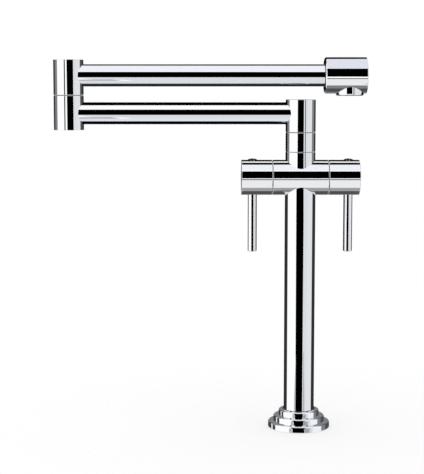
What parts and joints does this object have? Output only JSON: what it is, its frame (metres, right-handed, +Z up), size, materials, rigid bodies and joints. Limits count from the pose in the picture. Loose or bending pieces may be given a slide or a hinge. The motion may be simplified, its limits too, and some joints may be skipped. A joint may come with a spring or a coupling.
{
  "type": "pot filler tap",
  "caption": "Deck-mounted pot filler tap with a stepped round base, tall column, lever-handle mixing valve and a folding swivel arm that ends in a barrel-shaped spout head.",
  "frame": {"origin": "on the column's axis, in the plane of the deck that the base flange sits on", "axes": "+Z up along the column, +X towards the spout head and the cold handle, front faces -Y"},
  "size_m": [0.3554, 0.071, 0.4263],
  "materials": {
    "chrome": "polished",
    "brass": "satin",
    "copper": "satin",
    "steel": "satin",
    "rubber": "matte",
    "acetal": "satin",
    "black_acetal": "satin",
    "ceramic": "gloss"
  },
  "bodies": {
    "stand": {"base_flange": "chrome", "base_gasket": "rubber", "flange_seal": "rubber", "column_tube": "chrome", "foot_insert": "brass", "hot_supply_tube": "copper", "cold_supply_tube": "copper", "supply_seals": "rubber", "valve_body": "chrome", "neck_gasket": "rubber", "neck_collar": "chrome", "neck_post": "brass", "neck_seals": "rubber", "neck_washer": "acetal", "neck_wear_ring": "black_acetal", "neck_circlip": "steel", "hot_cartridge": "brass", "hot_cartridge_seal": "rubber", "hot_seat_seal": "rubber", "hot_fixed_disc": "ceramic", "hot_glide_ring": "black_acetal", "cold_cartridge": "brass", "cold_cartridge_seal": "rubber", "cold_seat_seal": "rubber", "cold_fixed_disc": "ceramic", "cold_glide_ring": "black_acetal"},
    "hot_handle": {"hot_handle_hub": "chrome", "hot_lever": "chrome", "hot_spindle": "brass", "hot_moving_disc": "ceramic", "hot_grub_screw": "steel"},
    "cold_handle": {"cold_handle_hub": "chrome", "cold_lever": "chrome", "cold_spindle": "brass", "cold_moving_disc": "ceramic", "cold_grub_screw": "steel"},
    "lower_arm": {"neck_hub": "chrome", "neck_cap": "chrome", "lower_arm_tube": "chrome", "lower_elbow_hub": "chrome", "lower_elbow_cap": "chrome", "elbow_post": "brass", "elbow_seals": "rubber", "elbow_washer": "acetal", "elbow_wear_ring": "black_acetal", "elbow_circlip": "steel"},
    "upper_arm": {"upper_elbow_hub": "chrome", "upper_elbow_cap": "chrome", "upper_arm_tube": "chrome", "spout_head": "chrome", "spout_end_cap": "chrome", "aerator_housing": "acetal", "aerator_strainer": "acetal", "aerator_washer": "rubber"}
  },
  "joints": [
    {"name": "neck_swivel", "type": "hinge", "parent": "stand", "child": "lower_arm", "pos_m": [0, 0, 0.363], "axis": [0, 0, 1], "continuous": true},
    {"name": "elbow_swivel", "type": "hinge", "parent": "lower_arm", "child": "upper_arm", "pos_m": [-0.264, 0, 0.4058], "axis": [0, 0, 1], "continuous": true},
    {"name": "hot_valve", "type": "hinge", "parent": "stand", "child": "hot_handle", "pos_m": [-0.05, 0, 0.29], "axis": [-1, 0, 0], "range_deg": [0, 90]},
    {"name": "cold_valve", "type": "hinge", "parent": "stand", "child": "cold_handle", "pos_m": [0.05, 0, 0.29], "axis": [-1, 0, 0], "range_deg": [0, 90]}
  ]
}
